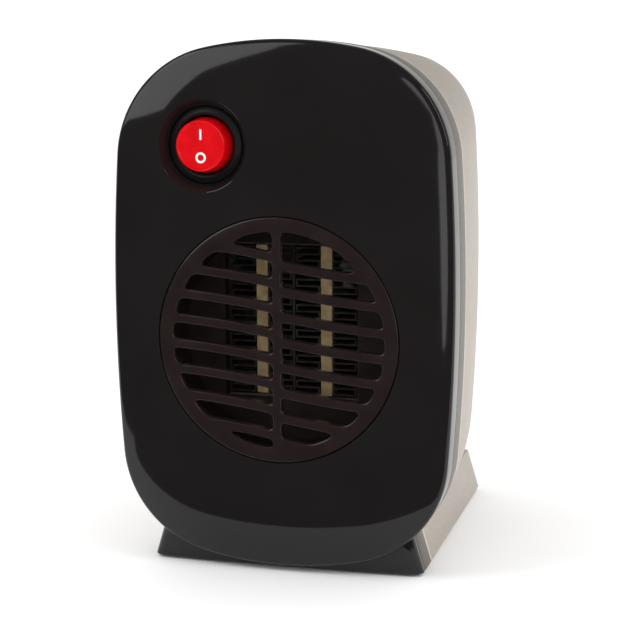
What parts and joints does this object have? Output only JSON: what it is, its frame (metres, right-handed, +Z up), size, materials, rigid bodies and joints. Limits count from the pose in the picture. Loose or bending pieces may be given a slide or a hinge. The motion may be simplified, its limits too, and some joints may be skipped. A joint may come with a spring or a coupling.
{
  "type": "ceramic space heater",
  "caption": "Small personal ceramic fan heater with a black front shell, silver housing, flared foot, round slatted outlet and a red rocker switch.",
  "frame": {"origin": "on the surface the heater stands on, under the middle of its bounding box", "axes": "+Z up, -Y toward the front with the outlet, +X to the right as seen from the front"},
  "size_m": [0.1072, 0.1156, 0.1633],
  "materials": {
    "gloss_black": "gloss",
    "champagne_silver": "metallic satin",
    "dark_brown": "satin",
    "satin_black": "satin",
    "signal_red": "translucent gloss",
    "brown_phenolic": "matt",
    "ceramic_tan": "matt",
    "bare_aluminium": "satin",
    "white_insulator": "matt",
    "bright_steel": "satin",
    "brass_tab": "satin",
    "copper_enamel": "enamelled winding",
    "laminated_iron": "satin",
    "fan_plastic": "satin",
    "black_rubber": "matt",
    "brown_wire": "satin",
    "blue_wire": "satin"
  },
  "bodies": {
    "housing": {"front_shell": "gloss_black", "rear_housing": "champagne_silver", "outlet_grille": "dark_brown", "switch_bezel": "satin_black", "switch_tab_low": "brass_tab", "switch_tab_high": "brass_tab", "front_duct": "brown_phenolic", "heater_frame": "brown_phenolic", "contact_plate_left": "bare_aluminium", "fin_bank_1": "bare_aluminium", "ceramic_left": "ceramic_tan", "fin_bank_2": "bare_aluminium", "contact_plate_centre": "bare_aluminium", "fin_bank_3": "bare_aluminium", "ceramic_right": "ceramic_tan", "fin_bank_4": "bare_aluminium", "contact_plate_right": "bare_aluminium", "holder_high": "white_insulator", "holder_low": "white_insulator", "thermal_cutout": "bright_steel", "fan_shroud": "brown_phenolic", "motor_core": "laminated_iron", "motor_coil": "copper_enamel", "motor_bracket_front": "bright_steel", "motor_bracket_rear": "bright_steel", "housing_screw_low_left": "bright_steel", "housing_screw_low_right": "bright_steel", "housing_screw_high_left": "bright_steel", "housing_screw_high_right": "bright_steel", "frame_screw_1": "bright_steel", "frame_screw_2": "bright_steel", "frame_screw_3": "bright_steel", "frame_screw_4": "bright_steel", "motor_screw_left": "bright_steel", "motor_screw_right": "bright_steel", "core_bolt_left": "bright_steel", "core_bolt_right": "bright_steel", "foot_pad_front_left": "black_rubber", "foot_pad_front_right": "black_rubber", "foot_pad_rear_left": "black_rubber", "foot_pad_rear_right": "black_rubber", "cord_gland": "black_rubber", "wire_supply": "brown_wire", "wire_return": "blue_wire", "wire_switched": "brown_wire", "wire_heater": "brown_wire"},
    "rocker": {"switch_rocker": "signal_red"},
    "rotor": {"fan": "fan_plastic", "motor_shaft": "bright_steel"}
  },
  "joints": [
    {"name": "rocker_tilt", "type": "hinge", "parent": "housing", "child": "rocker", "pos_m": [-0.0231, -0.0514, 0.1318], "axis": [1, 0, 0], "range_deg": [-7, 7]},
    {"name": "fan_spin", "type": "hinge", "parent": "housing", "child": "rotor", "pos_m": [0, -0.01, 0.0734], "axis": [0, 1, 0], "continuous": true}
  ]
}
